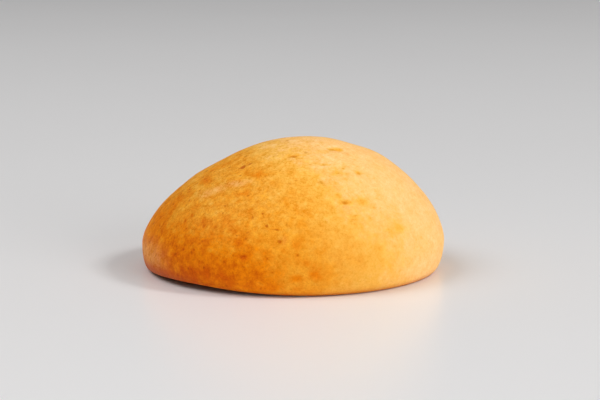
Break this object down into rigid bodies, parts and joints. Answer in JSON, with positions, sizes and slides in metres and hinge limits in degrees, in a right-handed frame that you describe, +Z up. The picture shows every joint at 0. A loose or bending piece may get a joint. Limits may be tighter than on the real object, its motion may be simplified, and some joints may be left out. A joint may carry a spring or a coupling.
{
  "type": "cassava cheese bread",
  "caption": "Smooth oval domed bread roll with a thin golden crust and a flat browned base, eaten whole as a snack or a side.",
  "frame": {"origin": "middle of the roll's box, on the plane that its flat base rests on", "axes": "+Z up through the crown; +X towards the fuller, broader end; -X towards the long low slope; -Y is the front"},
  "size_m": [0.0842, 0.076, 0.0363],
  "materials": {
    "crust": "satin golden orange baked crust, paler on the crown, browner towards the base"
  },
  "bodies": {
    "root": {"bread": "crust"}
  },
  "joints": []
}
